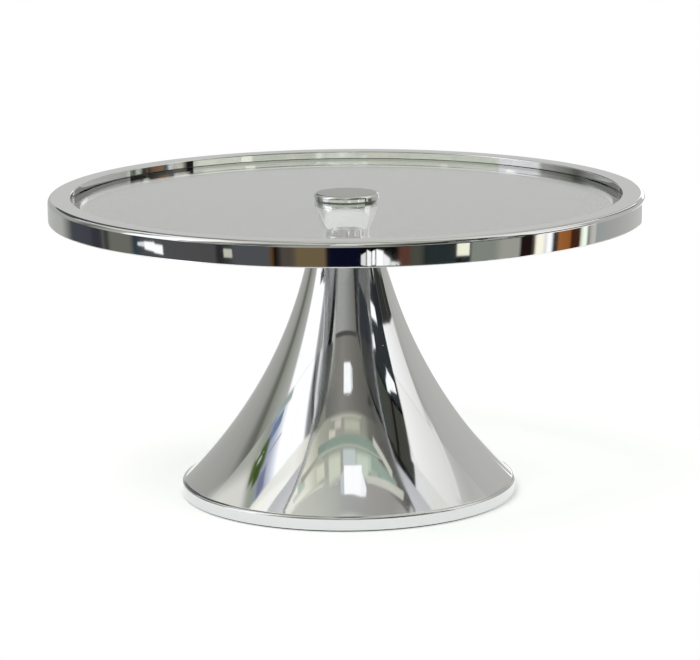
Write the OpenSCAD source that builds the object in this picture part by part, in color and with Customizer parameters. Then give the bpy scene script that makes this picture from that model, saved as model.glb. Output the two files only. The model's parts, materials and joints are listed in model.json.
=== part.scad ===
// Pedestal cake stand: a rimmed glass tray clamped on a trumpet-shaped metal foot.
// Units are millimetres. Z = 0 is the table, and the Z axis is the stand's own axis.

/* [Tray] */
// Outer diameter of the tray's rim
tray_d = 300; // [240:1:340]
// Height of the rim
rim_h = 11.9; // [11:0.1:16]
// Width of the rim's flat top lip, seen from above
lip_w = 11.5; // [8:0.1:16]
// Rounding of the rim's upper outer edge
rim_edge_r = 2.5; // [1:0.1:4]
// Rounding of the rim's other edges
rim_arris_r = 0.6; // [0.2:0.1:1]
// How far the lip stands above the glass
lip_rise = 3.9; // [2:0.1:5]
// How far the ledge reaches in under the glass
ledge_w = 5; // [3:0.5:8]
// Thickness of the glass
glass_t = 5; // [4:0.5:6]
// Diameter of the hole in the middle of the glass
glass_hole_d = 16; // [14:0.5:18]
// Bevel ground on the edges of the glass
glass_arris = 0.5; // [0.2:0.1:1]
// Thickness of the seal between the glass and the rim
seal_t = 0.5; // [0.3:0.1:1]

/* [Pedestal] */
// Diameter of the foot
foot_d = 170.6; // [150:0.2:200]
// Height of the foot's upright edge above the table
foot_h = 7.2; // [6:0.1:10]
// Height of the neck's top above the table
pedestal_h = 131.8; // [130:0.1:150]
// Thickness of the spun sheet
shell_t = 1; // [0.8:0.1:1]
// Radius of the long hollow sweep of the side
sweep_r = 227.4; // [190:0.1:400]
// Diameter of the pedestal at its shoulder
shoulder_d = 41.4; // [38:0.1:44]
// Height of the shoulder above the table
shoulder_h = 118; // [115:0.1:119]
// Rounding of the shoulder
shoulder_r = 3; // [2:0.5:3.5]
// Diameter of the neck
neck_d = 22.4; // [20:0.1:24]
// Radius of the hollow between the neck and the shoulder
neck_sweep_r = 6.5; // [6:0.5:7.5]
// Straight height of the neck
neck_straight = 3; // [2:0.1:4]
// Width between the sweep and the foot's edge, with a narrow level step in it
foot_step = 1.7; // [1.7:0.1:3]
// Rounding between the sweep and the step
foot_flare_r = 1; // [0.5:0.1:1]
// Rounding of the foot's upper edge
foot_edge_r = 1.2; // [1.1:0.1:1.2]

/* [Base] */
// Thickness of the pressed base plate
plate_t = 1.2; // [0.8:0.1:2]
// Depth of the base plate's recess for the nut
recess_h = 10; // [9:0.5:14]
// Diameter of that recess, inside
recess_d = 34; // [28:1:50]
// How far the anti-slip ring stands below the foot's edge
ring_drop = 0.8; // [0.4:0.1:2]
// Width of the anti-slip ring
ring_w = 12; // [6:0.5:20]

/* [Fittings] */
// Height of the cup that carries the glass
cup_h = 12.9; // [12:0.1:20]
// Diameter of the cup's top
cup_d = 32; // [30:0.5:36]
// Diameter of the cup's foot
cup_foot_d = 22.5; // [20:0.1:24]
// Radius of the cup's bulging side
cup_side_r = 46; // [30:1:80]
// Thickness of the gasket under the glass
gasket_t = 0.8; // [0.5:0.1:1.5]
// Diameter of the gasket under the glass
gasket_d = 29; // [24:0.5:30]
// Thickness of the gasket under the cap
cap_gasket_t = 0.5; // [0.3:0.1:1]
// Diameter of the gasket under the cap
cap_gasket_d = 31; // [24:0.5:31]
// Diameter of the cap
cap_d = 32.6; // [32:0.1:38]
// Thickness of the cap
cap_t = 2.8; // [2.4:0.1:5]
// Rounding of the cap's upper edge
cap_edge_r = 1.2; // [0.6:0.1:2]
// Depth of the stud's seat in the cap
stud_seat = 1.6; // [1:0.1:2]

/* [Screws] */
// Thread diameter of the tie rod and the stud
thread_d = 6; // [5:1:8]
// Running clearance of a thread, on the radius
thread_gap = 0.06; // [0.02:0.01:0.1]
// Clearance of a plain hole around the thread, on the radius
hole_gap = 0.3; // [0.2:0.1:0.5]
// Length of the tie rod inside the cup
rod_grip = 6.3; // [5:0.1:6.5]
// Gap between the rod's end and the stud's end
stud_gap = 0.6; // [0.3:0.1:1]
// Length of the rod that shows below its nut
rod_tail = 1.5; // [0.5:0.5:3]
// Width of the nut across its flats
nut_af = 10; // [10:0.5:13]
// Height of the nut
nut_h = 5; // [4:0.5:6]
// Outer diameter of the flat washer
washer_d = 18; // [12:0.5:24]
// Outer diameter of the split lock washer
lock_d = 11.8; // [10:0.1:14]
// Thickness of each washer
washer_t = 1.6; // [1:0.1:2]
// Width of the cut in the lock washer
lock_cut = 1.2; // [0.5:0.1:2]

/* [Hidden] */
$fn = 120;
sweep_steps = 30;   // points along the long sweep
cup_steps = 12;     // points along the cup's side
round_steps = 8;    // points along a small rounding
side_gap = 0.4;     // gap between the foot's inside and what lies in it
bush_gap = 0.15;    // gap between the bush and the glass
bush_bore_gap = 0.5; // gap between the bush and the stud
bush_short = 0.2;   // the bush stays this far below the glass's top
seal_gap = 0.05;    // gap on each side of the seal's upright part
cut = 1;            // how far a cutting shape runs past the face it cuts

tray_r = tray_d / 2;
foot_r = foot_d / 2;
neck_r = neck_d / 2;
thread_r = thread_d / 2;

// Heights, from the table up
plate_top_z = foot_h - shell_t;
plate_z = plate_top_z - plate_t;
hub_z = plate_z + recess_h;
washer_z = hub_z - washer_t;
lock_z = washer_z - washer_t;
nut_z = lock_z - nut_h;
rod_z = nut_z - rod_tail;
cup_z = pedestal_h;
cup_top_z = cup_z + cup_h;
glass_z = cup_top_z + gasket_t;
glass_top_z = glass_z + glass_t;
rim_top_z = glass_top_z + lip_rise;
rim_z = rim_top_z - rim_h;
ledge_z = glass_z - seal_t;
cap_gasket_z = glass_top_z;
cap_z = cap_gasket_z + cap_gasket_t;
rod_top_z = cup_z + rod_grip;
stud_z = rod_top_z + stud_gap;

// Radii of the tray
lip_r = tray_r - lip_w;
glass_r = lip_r - seal_t - 2 * seal_gap;
ledge_r = lip_r - ledge_w;

// Points of an arc about centre c, from angle a to angle b in degrees
function arc(c, r, a, b, steps) =
    [for (i = [0:steps]) let (t = a + (b - a) * i / steps) c + r * [cos(t), sin(t)]];

// The same arc without its first point, where the outline before it already ends there
function arc_on(c, r, a, b, steps) = [for (p = arc(c, r, a, b, steps)) if (p != c + r * [cos(a), sin(a)]) p];

function backwards(points) = [for (i = [len(points) - 1:-1:0]) points[i]];

// Centre of the circle of radius r through p and q, on the left of the way from p to q
function centre_of(p, q, r) =
    let (h = norm(q - p) / 2, u = (q - p) / (2 * h)) (p + q) / 2 + sqrt(r * r - h * h) * [-u[1], u[0]];

// Crossing of the circles (a, ra) and (b, rb), on the left of the way from a to b
function crossing(a, ra, b, rb) =
    let (d = norm(b - a), u = (b - a) / d, s = (ra * ra - rb * rb + d * d) / (2 * d))
    a + s * u + sqrt(ra * ra - s * s) * [-u[1], u[0]];

// Direction from a to b in degrees
function heading(a, b) = atan2(b[1] - a[1], b[0] - a[0]);

// The four circles that the pedestal's outline follows
sweep_c = centre_of([shoulder_d / 2, shoulder_h], [foot_r - foot_step, foot_h], sweep_r);
neck_c = [neck_r + neck_sweep_r, pedestal_h - neck_straight];
shoulder_c = crossing(sweep_c, sweep_r + shoulder_r, neck_c, neck_sweep_r + shoulder_r);
flare_c_z = foot_h + foot_flare_r;
flare_c = [sweep_c[0] - sqrt(pow(sweep_r - foot_flare_r, 2) - pow(sweep_c[1] - flare_c_z, 2)), flare_c_z];
edge_c = [foot_r - foot_edge_r, foot_h - foot_edge_r];

// The pedestal's outline from the foot's lower edge to the neck's top, moved in by t.
// Hollow arcs grow by t and bulging ones shrink by it.
function outline(t) =
    let (
        flare_turn = heading(flare_c, sweep_c),
        sweep_turn = heading(shoulder_c, sweep_c),
        neck_turn = heading(shoulder_c, neck_c)
    )
    concat(
        [[foot_r - t, ring_drop]],
        arc(edge_c, foot_edge_r - t, 0, 90, round_steps),
        arc(flare_c, foot_flare_r + t, 270, 180 + flare_turn, round_steps),
        arc_on(sweep_c, sweep_r + t, 180 + flare_turn, 180 + sweep_turn, sweep_steps),
        arc_on(shoulder_c, shoulder_r - t, sweep_turn, neck_turn, round_steps),
        arc_on(neck_c, neck_sweep_r + t, 180 + neck_turn, 180, round_steps),
        [[neck_r - t, pedestal_h - t]]
    );

// Flat ring from height z, h thick
module ring(outer_r, inner_r, z, h) {
    translate([0, 0, z])
        difference() {
            cylinder(r = outer_r, h = h);
            translate([0, 0, -cut]) cylinder(r = inner_r, h = h + 2 * cut);
        }
}

// Spun sheet pedestal: foot, long sweep, shoulder and neck in one shell
module bell() {
    hole_r = thread_r + hole_gap;
    color("silver")
        rotate_extrude()
            polygon(concat(
                outline(0),
                [[hole_r, pedestal_h], [hole_r, pedestal_h - shell_t]],
                backwards(outline(shell_t))
            ));
}

// Pressed plate that closes the foot, with a recess for the nut
module base_plate() {
    out_r = foot_r - shell_t - side_gap;
    in_r = recess_d / 2;
    hole_r = thread_r + hole_gap;
    color("gray")
        rotate_extrude()
            polygon([
                [out_r, plate_z], [out_r, plate_top_z],
                [in_r + plate_t, plate_top_z], [in_r + plate_t, hub_z + plate_t],
                [hole_r, hub_z + plate_t], [hole_r, hub_z],
                [in_r, hub_z], [in_r, plate_z]
            ]);
}

// Anti-slip ring glued under the base plate
module foot_ring() {
    out_r = foot_r - shell_t - side_gap;
    color("black") ring(out_r, out_r - ring_w, 0, plate_z);
}

// Threaded rod from the nut up into the cup
module tie_rod() {
    color("darkgray") translate([0, 0, rod_z]) cylinder(r = thread_r, h = rod_top_z - rod_z);
}

// Hexagon nut that pulls the rod down against the washers
module bottom_nut() {
    color("darkgray")
        translate([0, 0, nut_z])
            difference() {
                cylinder(r = nut_af / 2 / cos(30), h = nut_h, $fn = 6);
                translate([0, 0, -cut]) cylinder(r = thread_r + thread_gap, h = nut_h + 2 * cut);
            }
}

// Split washer under the nut
module lock_washer() {
    color("darkgray")
        difference() {
            ring(lock_d / 2, thread_r + hole_gap, lock_z, washer_t);
            translate([0, -lock_cut / 2, lock_z - cut]) cube([lock_d, lock_cut, washer_t + 2 * cut]);
        }
}

// Washer on the underside of the recess
module flat_washer() {
    color("darkgray") ring(washer_d / 2, thread_r + hole_gap, washer_z, washer_t);
}

// Turned cup on the neck, threaded right through
module cup() {
    top_r = cup_d / 2;
    foot_point = [cup_foot_d / 2, cup_z];
    top_point = [top_r, cup_top_z];
    side_c = centre_of(foot_point, top_point, cup_side_r);
    bore_r = thread_r + thread_gap;
    color("silver")
        rotate_extrude()
            polygon(concat(
                [[bore_r, cup_z]],
                arc(side_c, cup_side_r, heading(side_c, foot_point), heading(side_c, top_point), cup_steps),
                [[bore_r, cup_top_z]]
            ));
}

// Soft ring between the cup and the glass
module lower_gasket() {
    color("white") ring(gasket_d / 2, thread_r + hole_gap, cup_top_z, gasket_t);
}

// Sleeve that keeps the stud off the glass
module hole_bush() {
    color("white")
        ring(glass_hole_d / 2 - bush_gap, thread_r + bush_bore_gap, glass_z, glass_t - bush_short);
}

// Round glass with ground edges and a hole in the middle
module glass_plate() {
    hole_r = glass_hole_d / 2;
    a = glass_arris;
    color("lightblue", 0.4)
        rotate_extrude()
            polygon([
                [hole_r, glass_z], [glass_r - a, glass_z], [glass_r, glass_z + a],
                [glass_r, glass_top_z - a], [glass_r - a, glass_top_z], [hole_r, glass_top_z]
            ]);
}

// Clear seal on the ledge and around the edge of the glass
module edge_seal() {
    wall_r = lip_r - seal_gap;
    color("whitesmoke")
        rotate_extrude()
            polygon([
                [ledge_r + seal_t, ledge_z], [wall_r, ledge_z],
                [wall_r, glass_top_z - glass_arris], [wall_r - seal_t, glass_top_z - glass_arris],
                [wall_r - seal_t, glass_z], [ledge_r + seal_t, glass_z]
            ]);
}

// Rim with a flat lip above the glass and a ledge under it
module rim() {
    e = rim_edge_r;
    s = rim_arris_r;
    color("silver")
        rotate_extrude()
            polygon(concat(
                arc([tray_r - s, rim_z + s], s, 270, 360, round_steps),
                arc([tray_r - e, rim_top_z - e], e, 0, 90, round_steps),
                arc([lip_r + s, rim_top_z - s], s, 90, 180, round_steps),
                [[lip_r, ledge_z], [ledge_r, ledge_z]],
                arc([ledge_r + s, rim_z + s], s, 180, 270, round_steps)
            ));
}

// Soft ring between the glass and the cap
module cap_gasket() {
    color("white") ring(cap_gasket_d / 2, thread_r + hole_gap, cap_gasket_z, cap_gasket_t);
}

// Flat cap, with a blind seat for the stud
module cap_disc() {
    e = cap_edge_r;
    r = cap_d / 2;
    color("silver")
        rotate_extrude()
            polygon(concat(
                [[thread_r, cap_z], [r, cap_z]],
                arc([r - e, cap_z + cap_t - e], e, 0, 90, round_steps),
                [[0, cap_z + cap_t], [0, cap_z + stud_seat], [thread_r, cap_z + stud_seat]]
            ));
}

// Threaded stud fixed in the cap
module cap_stud() {
    color("darkgray")
        translate([0, 0, stud_z]) cylinder(r = thread_r, h = cap_z + stud_seat - stud_z);
}

bell();
base_plate();
foot_ring();
tie_rod();
bottom_nut();
lock_washer();
flat_washer();
cup();
lower_gasket();
hole_bush();
glass_plate();
edge_seal();
rim();
cap_gasket();
cap_disc();
cap_stud();
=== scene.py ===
"""Looks of a pedestal cake stand: glass tray in a chromed rim, on a spun chromed pedestal."""
import json
from math import atan2, cos, degrees, pi, radians, sin, sqrt

import bpy
from mathutils import Matrix, Vector


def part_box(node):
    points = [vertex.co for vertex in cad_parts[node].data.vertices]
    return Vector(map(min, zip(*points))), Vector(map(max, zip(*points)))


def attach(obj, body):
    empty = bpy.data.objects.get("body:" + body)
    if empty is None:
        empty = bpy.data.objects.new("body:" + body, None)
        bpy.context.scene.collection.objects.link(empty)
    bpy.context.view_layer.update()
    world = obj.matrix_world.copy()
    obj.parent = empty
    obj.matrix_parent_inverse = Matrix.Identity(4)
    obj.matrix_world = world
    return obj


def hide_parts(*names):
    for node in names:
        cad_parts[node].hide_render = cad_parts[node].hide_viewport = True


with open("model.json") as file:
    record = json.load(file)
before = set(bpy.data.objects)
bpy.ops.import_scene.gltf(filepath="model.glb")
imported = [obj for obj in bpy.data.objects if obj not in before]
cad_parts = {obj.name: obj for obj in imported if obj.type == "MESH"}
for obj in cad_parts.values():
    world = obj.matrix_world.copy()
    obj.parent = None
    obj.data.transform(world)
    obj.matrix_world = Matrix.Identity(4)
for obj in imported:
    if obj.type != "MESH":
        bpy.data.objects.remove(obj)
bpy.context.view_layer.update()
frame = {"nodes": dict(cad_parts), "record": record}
nodes = frame["nodes"]
MM = 0.001

# ---------------------------------------------------------------- Sizes, in metres
# Places come from the frame's boxes. The rest are the rounded shapes of the same pieces.
foot_low, foot_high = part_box("bell")
rim_low, rim_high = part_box("rim")
cup_low, cup_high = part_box("cup")
cap_low, cap_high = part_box("cap_disc")
glass_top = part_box("glass_plate")[1].z
seal_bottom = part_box("edge_seal")[0].z

FOOT_R = foot_high.x
FOOT_TOP = 7.2 * MM
FOOT_STEP = 1.7 * MM
FOOT_FLARE_R = 1 * MM
FOOT_EDGE_R = 1.2 * MM
SHEET = 1 * MM
SWEEP_R = 227.4 * MM
SHOULDER = Vector((20.7, 118)) * MM
SHOULDER_R = 3 * MM
NECK_R = 11.2 * MM
NECK_SWEEP_R = 6.5 * MM
NECK_STRAIGHT = 3 * MM
ROD_HOLE_R = 3.3 * MM

RIM_R = rim_high.x
LIP_W = 11.5 * MM
LEDGE_W = 5 * MM
RIM_EDGE_R = 2.5 * MM
RIM_ARRIS_R = 0.6 * MM
RIM_CROWN_R = 180 * MM      # the rolled outer wall bulges this gently

CUP_FOOT_R = 11.25 * MM
CUP_SIDE_R = 46 * MM
THREAD_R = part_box("cap_stud")[1].x
THREAD_ROOM = 0.06 * MM
STUD_SEAT = 1.6 * MM        # how far the stud goes into the cap from below
CAP_EDGE_R = 1.4 * MM
# The cap's top face, picked out by the next depth, gets painted shade: a darker tone for the dim ceiling it
# mirrors
CAP_TOP_SHADE_DEPTH = 0.1 * MM       # what lies less than this below the cap's top counts as its top face

LARGE_STEPS = 288           # steps round the pedestal and the rim
SMALL_STEPS = 128           # steps round the cup and the cap
FINE = 10                   # points along a small rounding
WELD = 0.002 * MM           # points closer than this are one
SMOOTH_UP_TO = radians(35)  # sharper corners than this stay sharp


# ---------------------------------------------------------------- Small helpers
def linear(hex_colour):
    """An sRGB hex colour as the linear values that Blender's sockets take."""
    parts = [int(hex_colour[i:i + 2], 16) / 255 for i in (1, 3, 5)]
    return [c / 12.92 if c <= 0.04045 else ((c + 0.055) / 1.055) ** 2.4 for c in parts] + [1.0]


def node(tree, kind, inputs=None, **settings):
    """Adds a node, makes its settings, and fills its inputs with values or other nodes' outputs."""
    new = tree.nodes.new(kind)
    for name, value in settings.items():
        setattr(new, name, value)
    for socket, value in (inputs or {}).items():
        if isinstance(value, bpy.types.NodeSocket):
            tree.links.new(value, new.inputs[socket])
        else:
            new.inputs[socket].default_value = value
    return new


def deselect():
    bpy.ops.object.select_all(action="DESELECT")


def settle(piece, name):
    """Names a finished piece and puts its place into its mesh."""
    piece.name = name
    piece.data.name = name
    bpy.ops.object.transform_apply(location=True, rotation=True, scale=True)
    return piece


# ---------------------------------------------------------------- Outlines
def arc(centre, radius, start, end, steps=FINE):
    """Points of an arc, with its start and end in degrees."""
    turns = [radians(start + (end - start) * i / steps) for i in range(steps + 1)]
    return [Vector((centre[0] + radius * cos(t), centre[1] + radius * sin(t))) for t in turns]


def centre_of(p, q, radius):
    """Centre of the circle through p and q, on the left of the way from p to q."""
    half = (q - p).length / 2
    way = (q - p).normalized()
    return (p + q) / 2 + sqrt(radius ** 2 - half ** 2) * Vector((-way.y, way.x))


def crossing(a, radius_a, b, radius_b):
    """Crossing of two circles, on the left of the way from a to b."""
    gap = (b - a).length
    way = (b - a) / gap
    along = (radius_a ** 2 - radius_b ** 2 + gap ** 2) / (2 * gap)
    return a + along * way + sqrt(radius_a ** 2 - along ** 2) * Vector((-way.y, way.x))


def heading(a, b):
    """Direction from a to b, in degrees from straight outwards."""
    return degrees(atan2(b.y - a.y, b.x - a.x))


def pedestal_side(inset):
    """The pedestal's side from the foot's lower edge to the neck's top, moved in by inset."""
    sweep = centre_of(SHOULDER, Vector((FOOT_R - FOOT_STEP, FOOT_TOP)), SWEEP_R)
    neck = Vector((NECK_R + NECK_SWEEP_R, foot_high.z - NECK_STRAIGHT))
    shoulder = crossing(sweep, SWEEP_R + SHOULDER_R, neck, NECK_SWEEP_R + SHOULDER_R)
    flare_z = FOOT_TOP + FOOT_FLARE_R
    flare_r = sweep.x - sqrt((SWEEP_R - FOOT_FLARE_R) ** 2 - (sweep.y - flare_z) ** 2)
    flare = Vector((flare_r, flare_z))
    edge = Vector((FOOT_R, FOOT_TOP)) - Vector((FOOT_EDGE_R, FOOT_EDGE_R))
    flare_turn = heading(flare, sweep)
    sweep_turn = heading(shoulder, sweep)
    neck_turn = heading(shoulder, neck)
    return (
        [Vector((FOOT_R - inset, foot_low.z))]
        + arc(edge, FOOT_EDGE_R - inset, 0, 90)
        + arc(flare, FOOT_FLARE_R + inset, 270, 180 + flare_turn)
        + arc(sweep, SWEEP_R + inset, 180 + flare_turn, 180 + sweep_turn, 64)[1:]
        + arc(shoulder, SHOULDER_R - inset, sweep_turn, neck_turn)[1:]
        + arc(neck, NECK_SWEEP_R + inset, 180 + neck_turn, 180)[1:]
        + [Vector((NECK_R - inset, foot_high.z - inset))]
    )


# ---------------------------------------------------------------- Modelling
def lathe(name, outline, steps):
    """Spins a closed outline of radius and height points about the stand's axis."""
    deselect()
    bpy.ops.mesh.primitive_plane_add(size=MM, location=(outline[0].x, 0, outline[0].y))
    piece = bpy.context.object
    bpy.ops.object.mode_set(mode="EDIT")
    bpy.ops.mesh.merge(type="CENTER")
    for here, there in zip(outline, outline[1:] + outline[:1]):
        step = (there.x - here.x, 0, there.y - here.y)
        bpy.ops.mesh.extrude_region_move(TRANSFORM_OT_translate={"value": step})
    bpy.ops.mesh.select_all(action="SELECT")
    bpy.ops.mesh.remove_doubles(threshold=WELD)
    bpy.ops.mesh.spin(steps=steps, angle=2 * pi, center=(0, 0, 0), axis=(0, 0, 1))
    bpy.ops.mesh.select_all(action="SELECT")
    bpy.ops.mesh.remove_doubles(threshold=WELD)
    bpy.ops.mesh.normals_make_consistent(inside=False)
    bpy.ops.object.mode_set(mode="OBJECT")
    bpy.ops.object.shade_smooth_by_angle(angle=SMOOTH_UP_TO)
    bpy.ops.object.modifier_add(type="WEIGHTED_NORMAL")
    piece.modifiers[-1].keep_sharp = True
    bpy.ops.object.modifier_apply(modifier=piece.modifiers[-1].name)
    return settle(piece, name)


def dress(piece, body, slot, material, *replaced):
    """Gives a new piece its finish and body, and hides the CAD nodes that it stands for; slot is not used."""
    piece.data.materials.clear()
    piece.data.materials.append(material)
    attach(piece, body)
    if replaced:
        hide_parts(*replaced)


# ---------------------------------------------------------------- Materials
def new_material(name):
    """A material with an empty node tree, and that tree."""
    material = bpy.data.materials.new(name)
    material.use_nodes = True
    material.node_tree.nodes.clear()
    return material, material.node_tree


def bright_chrome(name, dull_and_shade_share=None):
    """Bright chromium over polished steel: a near mirror, with the faint waves of the polished
    sheet, hairlines round the axis from the buffing wheel, specks and dry wipe marks. A face
    that the mask picks out, only turned and not buffed, is rougher, and it takes a darker tone,
    which is painted shade for the dim ceiling that this face mirrors."""
    material, tree = new_material(name)
    place = node(tree, "ShaderNodeTexCoord").outputs["Object"]
    waves = node(tree, "ShaderNodeTexNoise", {
        "Vector": place, "Scale": 45.0, "Detail": 1.0, "Roughness": 0.4,
    })
    # Buffing lines 0.35 mm apart up the side, so the pattern is squeezed along Z only
    lined = node(tree, "ShaderNodeMapping", {"Vector": place, "Scale": (14.0, 14.0, 2800.0)})
    lines = node(tree, "ShaderNodeTexNoise", {"Vector": lined.outputs[0], "Scale": 1.0, "Detail": 2.0})
    wavy = node(tree, "ShaderNodeBump", {
        "Height": waves.outputs["Fac"], "Strength": 1.0, "Distance": 0.02 * MM,
    })
    lined_bump = node(tree, "ShaderNodeBump", {
        "Height": lines.outputs["Fac"], "Normal": wavy.outputs[0], "Strength": 0.5, "Distance": 0.0006 * MM,
    })
    wipes = node(tree, "ShaderNodeTexNoise", {
        "Vector": place, "Scale": 30.0, "Detail": 6.0, "Roughness": 0.62,
    })
    roughness = node(tree, "ShaderNodeMapRange", {
        "Value": wipes.outputs["Fac"], "From Min": 0.42, "From Max": 0.75, "To Min": 0.025, "To Max": 0.075,
    }).outputs[0]
    tone = linear("#DADBDD")
    if dull_and_shade_share:
        dull = dull_and_shade_share(tree, place)
        roughness = node(tree, "ShaderNodeMix", {"Factor": dull, "A": roughness, "B": 0.22}).outputs[0]
        # Painted shade: the picked-out face's darker tone stands in for the dim ceiling that it mirrors
        tone = node(tree, "ShaderNodeMix", {
            "Factor": dull, 6: tone, 7: linear("#B6B7B4"),
        }, data_type="RGBA").outputs[2]
    # Dust and water spots, under 1 mm across and well apart
    cells = node(tree, "ShaderNodeTexVoronoi", {"Vector": place, "Scale": 170.0})
    speck = node(tree, "ShaderNodeMapRange", {
        "Value": cells.outputs["Distance"], "From Min": 0.03, "From Max": 0.07, "To Min": 1.0, "To Max": 0.0,
    })
    chosen = node(tree, "ShaderNodeSeparateColor", {0: cells.outputs["Color"]})
    few = node(tree, "ShaderNodeMath", {0: chosen.outputs[0], 1: 0.82}, operation="GREATER_THAN")
    spots = node(tree, "ShaderNodeMath", {0: speck.outputs[0], 1: few.outputs[0]}, operation="MULTIPLY")
    spotted = node(tree, "ShaderNodeMix", {"Factor": spots.outputs[0], "A": roughness, "B": 0.35})
    shader = node(tree, "ShaderNodeBsdfPrincipled", {
        "Base Color": tone, "Metallic": 1.0,
        "Roughness": spotted.outputs[0], "Normal": lined_bump.outputs[0],
    })
    node(tree, "ShaderNodeOutputMaterial", {"Surface": shader.outputs[0]})
    return material


def cap_top_shade_mask(tree, place):
    """1 on the cap's top face, which is only finely turned, so rougher, and which takes a darker tone as
    painted shade for the dim ceiling it mirrors.
    """
    height = node(tree, "ShaderNodeSeparateXYZ", {0: place}).outputs[2]
    return node(tree, "ShaderNodeMath", {
        0: height, 1: cap_high.z - CAP_TOP_SHADE_DEPTH,
    }, operation="GREATER_THAN").outputs[0]


def float_glass():
    """Clear float glass: colourless face on, faintly green through its depth."""
    material, tree = new_material("clear_float_glass")
    shader = node(tree, "ShaderNodeBsdfPrincipled", {
        "Base Color": linear("#FFFFFF"), "Roughness": 0.0, "IOR": 1.52, "Transmission Weight": 1.0,
    })
    path = node(tree, "ShaderNodeLightPath")
    clear = node(tree, "ShaderNodeBsdfTransparent", {"Color": linear("#F2F6F4")})
    surface = node(tree, "ShaderNodeMixShader", {
        0: path.outputs["Is Shadow Ray"], 1: shader.outputs[0], 2: clear.outputs[0],
    })
    depth = node(tree, "ShaderNodeVolumeAbsorption", {"Color": linear("#B8DCC8"), "Density": 9.0})
    node(tree, "ShaderNodeOutputMaterial", {"Surface": surface.outputs[0], "Volume": depth.outputs[0]})
    return material


def plain(name, colour, roughness, metallic=0.0, grain=900.0, grain_depth=0.01, **settings):
    """A finish with a fine grain in its roughness and surface."""
    material, tree = new_material(name)
    place = node(tree, "ShaderNodeTexCoord").outputs["Object"]
    grains = node(tree, "ShaderNodeTexNoise", {"Vector": place, "Scale": grain, "Detail": 3.0})
    rough = node(tree, "ShaderNodeMapRange", {
        "Value": grains.outputs["Fac"], "To Min": roughness * 0.8, "To Max": roughness * 1.2,
    })
    bump = node(tree, "ShaderNodeBump", {"Height": grains.outputs["Fac"], "Distance": grain_depth * MM})
    shader = node(tree, "ShaderNodeBsdfPrincipled", {
        "Base Color": linear(colour), "Metallic": metallic,
        "Roughness": rough.outputs[0], "Normal": bump.outputs[0], **settings,
    })
    node(tree, "ShaderNodeOutputMaterial", {"Surface": shader.outputs[0]})
    return material


CHROME = bright_chrome("bright_chromium_plating_on_spun_steel")
# The cap's chrome is darker on its top face: painted shade for the dim ceiling that face mirrors
CAP_CHROME = bright_chrome("bright_chromium_with_painted_shade_on_top", cap_top_shade_mask)
GLASS = float_glass()
# Zinc plating: grey and dull on the pressed plate, brighter on the turned screws and the nut
PRESSED = plain("dull_zinc_on_pressed_steel", "#A9ABAD", 0.38, 1.0)
ZINC = plain("bright_zinc_on_screw_steel", "#C4C6CA", 0.24, 1.0)
# Cut foam rubber: nearly black and matt, with cells about 0.4 mm apart
FOAM = plain("closed_cell_foam_rubber", "#1A1A1A", 0.85, 0.0, 2500.0, 0.06)
# Punched vinyl washers: milky and half clear
VINYL = plain("soft_clear_vinyl", "#DDE2E0", 0.3, **{"Transmission Weight": 0.6})
# Moulded nylon without pigment: off-white with a low sheen
NYLON = plain("natural_moulded_nylon", "#EDEBE3", 0.42)
# A smoothed silicone bead: clear and wet looking, so that it takes the colour of what it touches
SILICONE = plain("clear_silicone_bead", "#F4F8F6", 0.05, grain_depth=0.0, **{
    "Transmission Weight": 1.0, "IOR": 1.41,
})

finishes = {
    "pressed_steel": PRESSED, "plated_screw_steel": ZINC, "foam_rubber": FOAM, "clear_vinyl": VINYL,
    "white_nylon": NYLON, "clear_silicone": SILICONE, "chromed_steel": CHROME, "clear_glass": GLASS,
}
for part in frame["record"]["subparts"]:
    mesh = nodes[part["node"]].data
    mesh.materials.clear()
    mesh.materials.append(finishes[part["material_slot"]])

# ---------------------------------------------------------------- Pieces
def spun_pedestal():
    """The pedestal: one thin shell from the foot's edge to the neck, with the rod's hole on top."""
    outside = pedestal_side(0.0) + [Vector((NECK_R, foot_high.z)), Vector((ROD_HOLE_R, foot_high.z))]
    inside = [Vector((ROD_HOLE_R, foot_high.z - SHEET))] + pedestal_side(SHEET)[::-1]
    return lathe("spun_pedestal", outside + inside, LARGE_STEPS)


def tray_rim():
    """The tray's rim: a gently crowned wall, a flat lip, and the ledge that carries the glass."""
    lip_r = RIM_R - LIP_W
    ledge_r = lip_r - LEDGE_W
    wall_low = rim_low.z + RIM_ARRIS_R
    wall_high = rim_high.z - RIM_EDGE_R
    crown_reach = degrees((wall_high - wall_low) / 2 / RIM_CROWN_R)
    crown_dip = RIM_CROWN_R * (1 - cos(radians(crown_reach)))
    crown = arc((RIM_R - RIM_CROWN_R, (wall_high + wall_low) / 2), RIM_CROWN_R, -crown_reach, crown_reach, 12)
    return lathe("tray_rim", (
        arc((RIM_R - crown_dip - RIM_ARRIS_R, wall_low), RIM_ARRIS_R, 270, 360 - crown_reach)
        + crown[1:-1]
        + arc((RIM_R - crown_dip - RIM_EDGE_R, wall_high), RIM_EDGE_R, crown_reach, 90, 16)
        + arc((lip_r + RIM_ARRIS_R, rim_high.z - RIM_ARRIS_R), RIM_ARRIS_R, 90, 180)
        + [Vector((lip_r, seal_bottom)), Vector((ledge_r, seal_bottom))]
        + arc((ledge_r + RIM_ARRIS_R, wall_low), RIM_ARRIS_R, 180, 270)
    ), LARGE_STEPS)


def turned_cup():
    """The cup under the glass: bored for the stud, with bulging sides that open upwards."""
    foot = Vector((CUP_FOOT_R, cup_low.z))
    top = Vector((cup_high.x, cup_high.z))
    centre = centre_of(foot, top, CUP_SIDE_R)
    bore = THREAD_R + THREAD_ROOM
    return lathe("turned_cup", (
        [Vector((bore, cup_low.z))]
        + arc(centre, CUP_SIDE_R, heading(centre, foot), heading(centre, top), 24)
        + [Vector((bore, cup_high.z))]
    ), SMALL_STEPS)


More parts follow.
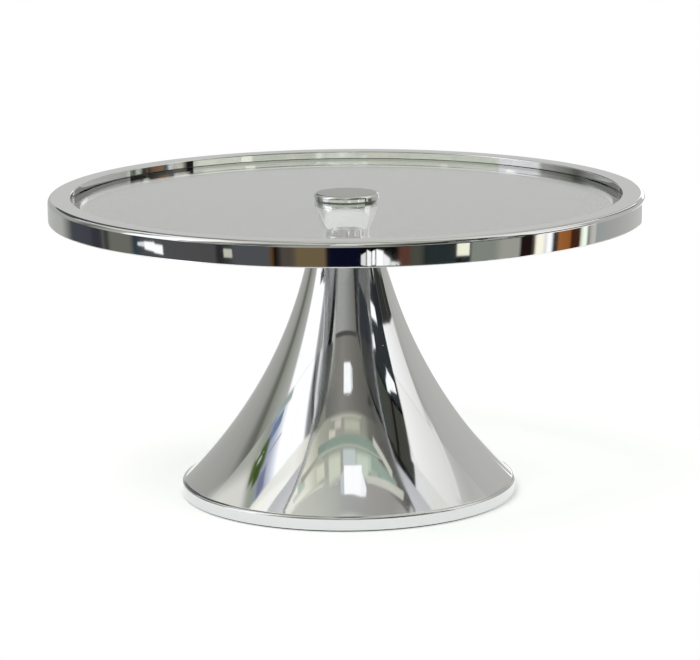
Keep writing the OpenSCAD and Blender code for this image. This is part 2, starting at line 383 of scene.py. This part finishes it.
def screw_cap():
    """The cap on the glass: a flat disc with a rounded edge and a seat for the stud below."""
    seat = cap_low.z + STUD_SEAT
    edge_centre = (cap_high.x - CAP_EDGE_R, cap_high.z - CAP_EDGE_R)
    return lathe("screw_cap", (
        [Vector((0, seat)), Vector((THREAD_R, seat))]
        + [Vector((THREAD_R, cap_low.z)), Vector((cap_high.x, cap_low.z))]
        + arc(edge_centre, CAP_EDGE_R, 0, 90)
        + [Vector((0, cap_high.z))]
    ), SMALL_STEPS)


dress(spun_pedestal(), "pedestal", "chromed_steel", CHROME, "bell")
dress(tray_rim(), "tray", "chromed_steel", CHROME, "rim")
dress(turned_cup(), "pedestal", "chromed_steel", CHROME, "cup")
dress(screw_cap(), "cap", "chromed_steel", CAP_CHROME, "cap_disc")

# ---------------------------------------------------------------- Camera
CAMERA_AWAY = 1.6           # from the middle of the glass
CAMERA_RISE = radians(9.163)
CAMERA_TILT = radians(11.53)
CAMERA_PAN = radians(-0.044)
CAMERA_ROLL = radians(-0.51)
CAMERA_LENS = 163.23        # millimetres, on a sensor 36 wide
camera_place = (0, -CAMERA_AWAY * cos(CAMERA_RISE), glass_top + CAMERA_AWAY * sin(CAMERA_RISE))
camera_data = bpy.data.cameras.new("camera")
camera_data.lens = CAMERA_LENS
camera_data.sensor_width = 36.0
camera = bpy.data.objects.new("camera", camera_data)
camera.matrix_world = (
    Matrix.Translation(camera_place)
    @ Matrix.Rotation(CAMERA_PAN, 4, "Z")
    @ Matrix.Rotation(pi / 2 - CAMERA_TILT, 4, "X")
    @ Matrix.Rotation(CAMERA_ROLL, 4, "Z")
)
bpy.context.scene.collection.objects.link(camera)
bpy.context.scene.camera = camera
bpy.context.scene.view_settings.view_transform = "Standard"

# ---------------------------------------------------------------- Surroundings
# The chrome shows a plain room. Each entry is a place in that room by its azimuth, from the
# front round to the right, and its height above the horizon, both in degrees.
BRIGHTER = 1.43             # makes up for what the chrome doesn't reflect
FLOOR_LINE = -14            # below this the room repeats itself upside down
BETWEEN = "#A5A5A1"         # what lies between the bands of wall
BACKDROP = "#8D8D8B"        # what the glass mirrors behind the stand
BACKDROP_FADE = (-18.5, 11) # height at which the backdrop turns white, and how softly
SOFT_LIGHT = 0.45           # plain light from all sides for what isn't metal or glass

# Bands of wall: lowest, highest, left end, right end, soft edge, stripes as (azimuth, colour)
BANDS = [
    ("low_left", -14, -4, -180, 0, 1, [
        (-180, "#C8C6C8"), (-165, "#A6A7A2"), (-140, "#A0A19C"), (-133, "#727470"),
        (-129, "#42444A"), (-114, "#3E4046"),
        (-112, "#34343A"), (-107, "#34343A"), (-106, "#5A5A58"), (-104.5, "#3E3E3C"), (-102, "#3E3E3C"),
        (-101, "#66665E"), (-89, "#66665E"), (-88, "#2C383E"), (-85, "#364046"),
        (-83, "#464849"), (-72, "#4C4C4E"), (-50, "#4A4848"),
        (-49, "#1E1E20"), (-47, "#2E3032"), (-44, "#3C3E40"),
        (-43, "#4B4D50"), (-29.5, "#4B4D50"), (-29, "#5A4128"), (-27.5, "#5A4128"), (-27, "#0C0C0C"),
        (-25.5, "#0C0C0C"), (-25, "#4B443E"), (-20, "#4B443E"), (-19, "#695A41"), (-8, "#695A41"),
        (-7, "#0A0C1E"),
    ]),
    ("low_right", -14, -4, -1, 110, 1, [
        (0, "#0A0C1E"), (4.5, "#0A0C1E"), (5, "#0A0A0A"), (19, "#050505"), (19.5, "#55372D"),
        (23.5, "#55372D"), (24, "#464840"), (28, "#464840"), (28.5, "#101010"), (30, "#262D2D"),
        (46.5, "#262D2D"), (47, "#7D8278"), (57, "#7D8278"), (60, "#96968C"), (67.5, "#96968C"),
        (68, "#1E1412"), (74.5, "#1E1412"), (75, "#FAF5E1"), (79, "#FAF5E1"), (79.5, "#302820"),
        (80.5, "#FFFFFF"), (83.5, "#FFFFFF"), (84, "#2A2A2A"), (86.5, "#2A2A2A"), (87, "#965F32"),
        (93.5, "#8A5228"), (94, "#3C2314"), (99.5, "#3C2314"), (100, "#F0FAEB"), (103, "#F0FAEB"),
        (103.5, "#4A4C42"), (106, "#B4B4AC"),
    ]),
    ("low_far_right", -14, -4, 109, 180, 1, [
        (109, "#919694"), (125, "#A09F9C"), (150, "#B0AFAC"), (166, "#B4B3B0"), (170, "#C8C6CD"),
        (180, "#C8C6CD"),
    ]),
    ("wall", -4, 31, -180, 180, 1, [
        (-180, "#A5A5A1"), (-136, "#9A9A95"), (-126, "#92928C"), (-120, "#6C6E66"),
        (-116, "#5E6058"), (-112, "#84867C"), (-94, "#AAAAA6"), (-91, "#FFFFFF"),
        (-62, "#FFFFFF"), (-60, "#B0AEAE"), (-56, "#868684"), (-53.5, "#9C9A98"), (-51, "#868482"),
        (-48.5, "#B4B4B2"), (-46, "#5F6567"), (-36, "#4C5052"), (-32, "#1A1C1C"),
        (-28, "#707070"), (-22, "#A0A09C"), (-8, "#9A9A96"), (17, "#6E6C68"),
        (19.5, "#2A2C2C"), (50, "#2E3034"), (74, "#1E1E1E"), (77, "#F4F4F3"),
        (105, "#DEDDD9"), (108, "#B4B3AF"), (110, "#A2A29E"), (116, "#AAA9A5"), (140, "#AEADA9"),
        (180, "#A5A5A1"),
    ]),
    ("upper_wall", 31, 51, -180, 180, 1, [
        (-180, "#C0C0B6"), (-150, "#BDBDB4"), (-130, "#A8A8A2"), (-122, "#A4A49E"), (-112, "#A4A69C"),
        (-104, "#8E9488"), (-100, "#8C90A2"), (-94, "#B4B8C6"), (-89, "#E8EAEE"), (-87, "#FFFFFF"),
        (-61.5, "#FFFFFF"), (-59, "#A4A2A2"), (-56, "#747472"), (-52.5, "#767674"), (-51, "#D8D6D2"),
        (-48.5, "#D8D6D2"), (-47, "#74746F"), (-45, "#70726E"),
        (-30, "#6E6E6A"), (-10, "#84807A"), (12, "#706E68"),
        (28, "#62605C"), (36, "#565450"), (77, "#4A4844"), (79, "#F0EFEC"), (95, "#E2E1DD"), (109, "#D8D7D3"),
        (114, "#B8B7B3"), (120, "#AEADA9"), (130, "#B4B3AD"), (150, "#BDBCB4"), (180, "#C0C0B6"),
    ]),
    ("ceiling", 50, 66, -180, 180, 1, [
        (-180, "#C6C6BC"), (-110, "#DADAD0"), (-70, "#ECEAE0"), (-56, "#DEDACC"), (-48, "#C6C4B2"),
        (-40, "#A6A699"), (-26, "#9A9A8E"), (-10, "#96968C"), (10, "#949488"), (23, "#8E8E82"),
        (30, "#6E6E66"), (40, "#64625C"), (56, "#5C5A56"), (76, "#5A5A5A"), (80, "#DCDBD7"), (110, "#D4D3CB"),
        (180, "#C6C6BC"),
    ]),
    ("ceiling_field", 65, 77, -180, 180, 1.5, [
        (-180, "#C4C4BA"), (-90, "#C2C2B8"), (-66, "#BCBCB2"), (-45, "#B2B2A9"), (-22, "#A6A69F"),
        (-8, "#9C9C98"), (12, "#969692"), (35, "#928F8A"), (62, "#8C8883"), (90, "#A8A7A0"),
        (130, "#C0C0B6"), (180, "#C4C4BA"),
    ]),
    ("overhead", 76, 91, -180, 180, 2, [(-180, "#CBCBC0"), (180, "#CBCBC0")]),
]

# Things on those walls: left, right, lowest and highest at the left, the same at the right,
# soft edge, colour
THINGS = [
    ("cornice_line", -26, 19, 50.6, 51.2, 50.6, 51.2, 0.3, "#B4B1A4"),
    ("cornice_glow", -28, -19, 53.2, 55.4, 53.8, 55.4, 0.8, "#C8C4B4"),
    ("cornice_glow", -20, -11, 51.2, 53.6, 51.2, 53.6, 1.2, "#BEBAAE"),
    ("cornice_glow", -6, 16, 51.8, 54.6, 51.8, 54.6, 2.2, "#B2B2A0"),
    ("cornice_shade", -42, 42, 55.6, 57.6, 55.6, 58.0, 0.6, "#7E8F80"),
    ("cornice_line", -40, 44, 57.9, 58.4, 58.0, 58.6, 0.3, "#A2AA9C"),
    ("cornice_shade", -36, 40, 58.8, 59.4, 59.0, 59.8, 0.3, "#8A9888"),
    ("green_wall", 8, 40, 59.8, 65.0, 59.2, 63.6, 2.5, "#AEBBA8"),
    ("green_wall", 31, 62, 58.8, 63.0, 60.4, 63.4, 1.5, "#8C9C8E"),
    ("green_wall", -72, -58, 60.6, 63.4, 58.8, 62.4, 1.5, "#B4BFB0"),
    ("cream_wall", -44, -34, 60.4, 64.4, 60.4, 64.4, 1.5, "#CCCCB8"),
    ("cream_wall", -28, -12, 60.0, 67.0, 60.0, 66.0, 3.0, "#C6CAB4"),
    ("cream_wall", 12, 27, 60.6, 66.4, 60.4, 66.0, 2.5, "#C0C9BA"),
    ("cream_line", -72, -36, 64.4, 65.2, 65.6, 66.4, 0.5, "#C8C8BA"),
    ("cream_line", 26, 70, 64.8, 66.8, 61.0, 63.6, 0.8, "#C2C2B6"),
    ("cream_line", 34, 57, 54.0, 56.0, 58.8, 60.8, 0.9, "#C6C4B8"),
    ("cornice_shade", -62, -42, 59.4, 61.0, 57.6, 59.2, 0.5, "#A0A292"),
    ("pale_under", -8, 9, 59.2, 63.4, 59.2, 63.4, 1.2, "#BCC3C2"),
    ("skylight", -12.5, -7, 66.0, 70.6, 64.0, 70.8, 0.8, "#B8BEBE"),
    ("skylight", -7.2, 6, 63.3, 70.8, 63.3, 70.8, 0.5, "#FFFFFF"),
    ("skylight", 6, 18.0, 63.3, 70.8, 62.8, 71.0, 0.5, "#FFFFFF"),
    ("skylight", 18.0, 25.5, 64.4, 71.0, 68.2, 70.4, 0.6, "#F4F6F6"),
    ("left_frieze", -48, -34, 49.0, 52.0, 46.0, 50.0, 1.5, "#8A887C"),
    ("wall_rail", -29, 19, 30.4, 31.6, 30.4, 31.6, 0.5, "#4E4C49"),
    ("dark_corner", 30, 38, 44.6, 47.0, 43.6, 46.4, 1.2, "#3C3C38"),
    ("board", 20, 41, 15, 31.5, 15, 45.5, 0.8, "#3C3F3D"),
    ("board", 41, 60, 15, 45.5, 15, 52.0, 0.8, "#42453F"),
    ("board", 60, 77.4, 15, 52.8, 15, 56.4, 0.6, "#40403A"),
    ("board", 74, 80, 50, 55.6, 50, 57.4, 0.8, "#40403A"),
    ("board_edge", 41, 60, 44.8, 46.4, 51.6, 53.2, 0.4, "#0E0E0C"),
    ("board_edge", 60, 80, 52.0, 54.2, 55.4, 57.8, 0.4, "#0E0E0C"),
    ("board_post", 63.6, 66.6, 39, 53, 39, 53, 0.8, "#1C1D18"),
    ("board_low", 20, 48, 15, 30.0, 15, 34.0, 1.0, "#27282C"),
    ("board_low", 48, 76.4, 15, 34.5, 15, 39.5, 0.8, "#2C3032"),
    ("board_rail", 45, 61, 32.4, 33.8, 37.6, 39.0, 0.4, "#0C0D0C"),
    ("board_rail", 61, 77.5, 37.8, 39.2, 38.8, 40.2, 0.4, "#0C0D0C"),
    ("board_glint", 41.5, 53.5, 29.6, 32.6, 27.2, 30.4, 0.6, "#FFFFFF"),
    ("board_glint", 62.0, 66.4, 35.8, 38.4, 33.0, 37.8, 0.6, "#F4FAF8"),
    ("board_glint", 66.0, 75.0, 32.2, 37.0, 33.4, 35.8, 0.6, "#FFFFFF"),
    ("board_glint", 54, 65, 19.5, 23.6, 20.0, 23.2, 0.8, "#FFFFFF"),
    ("board_glint", 48, 53, 17.0, 20.5, 18.0, 23.0, 0.8, "#D8DCDC"),
    ("reveal", -58, -50.5, 31, 37, 45, 52, 1.0, "#4E4E4C"),
    ("white_panel", 108, 112.5, 22.0, 44.0, 31.0, 44.0, 0.7, "#D6D5D1"),
    ("panel_edge", 106.6, 110.4, 13.0, 25.0, 22.0, 30.0, 0.6, "#A09F9B"),
    ("dark_shelf", 66, 80, 10, 23.4, 8.6, 20.6, 0.6, "#26282C"),
    ("dark_shelf", 80, 96, 8.6, 20.6, 7.2, 16.6, 0.6, "#30322F"),
    ("dark_shelf", 96, 107, 7.2, 16.6, 6.2, 12.6, 0.8, "#33342E"),
    ("shelf_foot", 74, 107, 6.4, 9.6, 4.4, 7.2, 2.0, "#77786F"),
    ("right_glow", 109, 150, 47.0, 62.0, 24.0, 50.0, 2.0, "#DEDDD6"),
    ("right_floor", 138, 162, -2.2, -0.6, -9.5, -3.8, 0.8, "#F2F0EC"),
    ("right_floor", 158, 172, -13.0, -4.0, -14.0, -7.0, 0.8, "#FCFCFA"),
    ("right_floor", 160, 172.5, 2.0, 7.0, -3.0, 12.0, 1.0, "#FFFFFF"),
    ("lamp", -7.2, 4.8, 38.0, 45.4, 38.0, 45.4, 0.6, "#FFFFFF"),
    ("lamp", 4.8, 7.6, 38.6, 45.0, 39.2, 44.2, 0.6, "#D4D6D4"),
    ("left_ceiling", -134, -109, 29, 52, 38.5, 52, 6, "#D2D2CA"),
    ("left_light", -170, -112, 40, 62, 47, 66, 3, "#E6E6DE"),
    ("left_light", -112, -66, 50, 66, 56, 62, 2, "#F2F1E8"),
    ("leaves", -108, -99, 37, 43, 35, 42, 2.0, "#4A5C2C"),
    ("leaves", -105, -101, 40, 45, 38, 44, 1.2, "#3A4C22"),
    ("leaf_light", -104.5, -102.5, 38.6, 39.6, 38.2, 39.2, 0.5, "#C8CCC4"),
    ("leaf_light", -107, -104.8, 36.6, 37.4, 36.2, 37.0, 0.5, "#B4BAB0"),
    ("window_bar", -101, -96, 45.0, 50.0, 43.0, 49.0, 1.5, "#72768E"),
    ("window_bar", -99.5, -92, 33.6, 37.6, 32.8, 36.0, 1.5, "#6C7C96"),
    ("window_bar", -98, -88, 40.4, 41.0, 39.4, 40.0, 0.4, "#8C94A8"),
    ("sill", -104, -86, 29.6, 31.6, 30.8, 33.2, 1.2, "#98A29C"),
    ("low_window", -85.5, -81.5, -9.9, -9.2, -10.1, -8.8, 0.3, "#D8DADA"),
    ("low_window", -82, -77, -10.6, -8.8, -11.0, -8.6, 0.4, "#FFFFFF"),
    ("low_window", -77.5, -73.2, -11.2, -9.0, -11.5, -9.1, 0.5, "#FFFFFF"),
    ("low_patch", -46.8, -43.4, -11.0, -8.5, -11.0, -8.5, 0.4, "#B9BBA9"),
    ("low_glint", 5.2, 7.0, -12.6, -9.6, -13.2, -8.6, 0.5, "#DADAD8"),
    ("low_glint", 7.4, 9.0, -13.4, -7.9, -13.4, -8.6, 0.5, "#F4F4F2"),
    ("low_glint", 9.3, 10.4, -12.8, -8.4, -12.8, -8.0, 0.4, "#FFFFFF"),
    ("low_glint", 10.8, 13.4, -13.4, -7.8, -13.4, -8.4, 0.5, "#FFFFFF"),
    ("low_glint", 13.4, 16.0, -13.4, -9.0, -13.4, -10.8, 0.4, "#F0F0EE"),
    ("low_glint", 16.2, 19.5, -13.4, -11.6, -13.4, -12.2, 0.4, "#E8E8E4"),
    ("low_glint", 41.5, 46.5, -11, -6.5, -11, -6.5, 0.4, "#EEEED7"),
    ("low_glint_foot", 41.5, 43.4, -13.4, -11.4, -13.4, -11.4, 0.3, "#0C0C0C"),
    ("overhead_beam", 120, 180, 72, 88, 72, 88, 3.0, "#2A2A28"),
    ("overhead_beam", -180, -120, 72, 88, 72, 88, 3.0, "#2A2A28"),
    ("skirting", -66, 66, 2.0, 15.0, 2.0, 15.0, 1.0, "#484A48"),
    ("picture_rail", -70, 70, 7.6, 10.8, 7.6, 10.8, 0.6, "#E6EADA"),
    ("back_glass", 140.5, 151, 22.5, 33, 14.5, 33, 1.2, "#8A8A88"),
    ("back_frame", 150.8, 156.2, 15, 33, 12, 33, 1.2, "#161614"),
    ("back_panel", 156.6, 170, 15, 33, 15, 33, 1.6, "#E4E2DA"),
    ("back_panel", 165, 180, 15, 33, 15, 33, 5.0, "#8E8D8A"),
    ("back_panel", -180, -168, 15, 33, 15, 33, 3.0, "#6A6A68"),
    ("back_frame", -171, -141.5, 11, 33, 22, 33, 1.2, "#42444A"),
    ("back_shelf", 146, 158.6, 32, 50.5, 32, 50.5, 0.8, "#62625E"),
    ("back_shelf_edge", 159.2, 166, 33, 40.0, 33, 40.0, 0.8, "#DCD8CA"),
    ("back_beam", -171, -146, 38, 63, 38, 63, 1.5, "#74736E"),
    ("back_board", -164, -143, 31, 33.0, 31, 60.0, 0.8, "#50524E"),
    ("back_board_edge", -167, -150, 29.2, 32.0, 51.0, 54.0, 0.4, "#121210"),
    ("back_edge", -142, -137.5, 22.4, 33, 24.6, 33, 1.0, "#F8FAF9"),
    ("back_wall", 173, 180, 5, 14, 5, 14, 1.5, "#B2B2B0"),
    ("back_wall", -180, -165, 5, 14, 5, 14, 1.5, "#B2B2B0"),
]


def surroundings():
    """World light: white behind the stand, a plain level for soft light, and the room in the metal."""
    world = bpy.data.worlds.new("room")
    bpy.context.scene.world = world
    world.use_nodes = True
    tree = world.node_tree
    tree.nodes.clear()
    way = node(tree, "ShaderNodeTexCoord").outputs["Generated"]
    x, y, z = node(tree, "ShaderNodeSeparateXYZ", {0: way}).outputs
    front = node(tree, "ShaderNodeMath", {0: y, 1: -1.0}, operation="MULTIPLY").outputs[0]
    turn = node(tree, "ShaderNodeMath", {0: x, 1: front}, operation="ARCTAN2").outputs[0]
    azimuth = node(tree, "ShaderNodeMath", {0: turn}, operation="DEGREES").outputs[0]
    rise = node(tree, "ShaderNodeMath", {0: z}, operation="ARCSINE").outputs[0]
    level = node(tree, "ShaderNodeMath", {0: rise}, operation="DEGREES").outputs[0]
    # Below the floor line a polished floor mirrors the walls
    below = node(tree, "ShaderNodeMath", {0: level, 1: FLOOR_LINE}, operation="LESS_THAN").outputs[0]
    mirror = node(tree, "ShaderNodeMapRange", {
        "Value": below, "To Min": 1.0, "To Max": -1.0,
    }, clamp=False).outputs[0]
    height = node(tree, "ShaderNodeMath", {0: level, 1: mirror}, operation="MULTIPLY").outputs[0]
    brightness = node(tree, "ShaderNodeMapRange", {
        "Value": below, "To Min": BRIGHTER, "To Max": BRIGHTER ** 2,
    }, clamp=False).outputs[0]
    place = node(tree, "ShaderNodeCombineXYZ", {0: azimuth, 1: height, 2: 1.0}).outputs[0]

    def edge(value, at, soft, up=True):
        """1 past the edge and 0 before it, or the other way round when up is false."""
        return node(tree, "ShaderNodeMapRange", {
            "Value": value, "From Min": at - soft / 2, "From Max": at + soft / 2,
            "To Min": 0.0 if up else 1.0, "To Max": 1.0 if up else 0.0,
        }, interpolation_type="SMOOTHSTEP", clamp=False).outputs[0]

    def level_edge(left, right, at_left, at_right, soft, up):
        """An edge in height that runs straight from its value at the left to the one at the right."""
        if at_left == at_right:
            return edge(height, at_left, soft, up)
        slope = (at_right - at_left) / (right - left)
        gap = node(tree, "ShaderNodeVectorMath", {
            0: place, 1: (-slope, 1, slope * left - at_left),
        }, operation="DOT_PRODUCT").outputs["Value"]
        return edge(gap, 0, soft, up)

    def window(left, right, low_left, high_left, low_right, high_right, soft):
        """Mask of a place on the walls; one that reaches the back's middle has no edge there."""
        mask = level_edge(left, right, low_left, low_right, soft, True)
        sides = [level_edge(left, right, high_left, high_right, soft, False)]
        if left > -180:
            sides.append(edge(azimuth, left, soft))
        if right < 180:
            sides.append(edge(azimuth, right, soft, False))
        for side in sides:
            mask = node(tree, "ShaderNodeMath", {0: mask, 1: side}, operation="MULTIPLY").outputs[0]
        return mask

    share = node(tree, "ShaderNodeMapRange", {
        "Value": azimuth, "From Min": -180.0, "From Max": 180.0,
    }, clamp=False).outputs[0]
    colour = linear(BETWEEN)
    for name, low, high, left, right, soft, stripes in BANDS:
        ramp = node(tree, "ShaderNodeValToRGB", {0: share}, label=name)
        stops = ramp.color_ramp.elements
        stops.remove(stops[1])
        stops[0].position = (stripes[0][0] + 180) / 360
        stops[0].color = linear(stripes[0][1])
        for where, hex_colour in stripes[1:]:
            stops.new((where + 180) / 360).color = linear(hex_colour)
        mask = window(left, right, low, high, low, high, soft)
        colour = node(tree, "ShaderNodeMix", {
            "Factor": mask, 6: colour, 7: ramp.outputs[0],
        }, data_type="RGBA").outputs[2]
    for name, *reach, hex_colour in THINGS:
        colour = node(tree, "ShaderNodeMix", {
            "Factor": window(*reach), 6: colour, 7: linear(hex_colour),
        }, data_type="RGBA", label=name).outputs[2]

    path = node(tree, "ShaderNodeLightPath").outputs
    room = node(tree, "ShaderNodeBackground", {"Color": colour, "Strength": brightness})
    white = node(tree, "ShaderNodeBackground", {"Color": linear("#FFFFFF"), "Strength": 1.0})
    depth = edge(level, *BACKDROP_FADE, False)
    backdrop_colour = node(tree, "ShaderNodeMix", {
        "Factor": depth, 6: linear(BACKDROP), 7: linear("#FFFFFF"),
    }, data_type="RGBA").outputs[2]
    backdrop = node(tree, "ShaderNodeBackground", {"Color": backdrop_colour, "Strength": 1.0})
    soft_light = node(tree, "ShaderNodeBackground", {"Color": linear("#FFFFFF"), "Strength": SOFT_LIGHT})
    mirrored = node(tree, "ShaderNodeMath", {0: path["Glossy Depth"], 1: 0.5}, operation="GREATER_THAN")
    through = node(tree, "ShaderNodeMixShader", {
        0: mirrored.outputs[0], 1: backdrop.outputs[0], 2: room.outputs[0],
    })
    metal_or_glass = node(tree, "ShaderNodeMath", {
        0: path["Is Glossy Ray"], 1: path["Is Transmission Ray"],
    }, operation="MAXIMUM")
    unlit = node(tree, "ShaderNodeMixShader", {
        0: metal_or_glass.outputs[0], 1: soft_light.outputs[0], 2: through.outputs[0],
    })
    seen = node(tree, "ShaderNodeMixShader", {
        0: path["Is Camera Ray"], 1: unlit.outputs[0], 2: white.outputs[0],
    })
    node(tree, "ShaderNodeOutputWorld", {"Surface": seen.outputs[0]})


surroundings()

# ---------------------------------------------------------------- Floor and lamps
FLOOR_R = 0.23
FLOOR_FADE = 0.04           # width of its edge, which fades into the white around it
LIFT = 0.3                  # brings the lit floor up to white where nothing shades it
FLOOR_GAP = 0.05 * MM       # keeps the floor clear of the foot


def matt_paper():
    """Matt white paper that takes the stand's shadow and fades into white at its edge."""
    material, tree = new_material("matt_white_paper")
    path = node(tree, "ShaderNodeLightPath").outputs
    direct = node(tree, "ShaderNodeMath", {
        0: path["Is Camera Ray"], 1: path["Is Glossy Ray"],
    }, operation="MAXIMUM")
    seen = node(tree, "ShaderNodeMath", {
        0: direct.outputs[0], 1: path["Is Transmission Ray"],
    }, operation="MAXIMUM")
    lift = node(tree, "ShaderNodeMath", {0: seen.outputs[0], 1: LIFT}, operation="MULTIPLY")
    paper = node(tree, "ShaderNodeBsdfDiffuse", {"Color": linear("#F4F4F2")})
    glow = node(tree, "ShaderNodeEmission", {"Color": linear("#FFFFFF"), "Strength": lift.outputs[0]})
    lit = node(tree, "ShaderNodeAddShader", {0: paper.outputs[0], 1: glow.outputs[0]})
    white = node(tree, "ShaderNodeEmission", {"Color": linear("#FFFFFF")})
    place = node(tree, "ShaderNodeTexCoord").outputs["Object"]
    reach = node(tree, "ShaderNodeVectorMath", {0: place}, operation="LENGTH").outputs["Value"]
    edge = node(tree, "ShaderNodeMapRange", {
        "Value": reach, "From Min": FLOOR_R - FLOOR_FADE, "From Max": FLOOR_R - 2 * MM,
    }, interpolation_type="SMOOTHSTEP").outputs[0]
    surface = node(tree, "ShaderNodeMixShader", {0: edge, 1: lit.outputs[0], 2: white.outputs[0]})
    node(tree, "ShaderNodeOutputMaterial", {"Surface": surface.outputs[0]})
    return material


deselect()
bpy.ops.mesh.primitive_circle_add(
    vertices=180, radius=FLOOR_R, fill_type="NGON", location=(0, 0, -FLOOR_GAP),
)
floor = bpy.context.object
floor.name = "floor"
floor.data.materials.append(matt_paper())


def lamp(name, place, aim, size, power):
    """A soft square lamp that lights the stand without showing in its metal."""
    data = bpy.data.lights.new(name, "AREA")
    data.shape = "SQUARE"
    data.size = size
    data.energy = power
    lit = bpy.data.objects.new(name, data)
    lit.location = place
    lit.rotation_euler = (Vector(aim) - Vector(place)).to_track_quat("-Z", "Y").to_euler()
    lit.visible_camera = False
    lit.visible_glossy = False
    lit.visible_transmission = False
    bpy.context.scene.collection.objects.link(lit)


lamp("overhead_softbox", (-0.5, -0.5, 1.8), (0, 0, 0.05), 1.4, 22.0)
lamp("side_softbox", (1.4, -0.9, 1.1), (0, 0, 0.08), 1.0, 5.0)
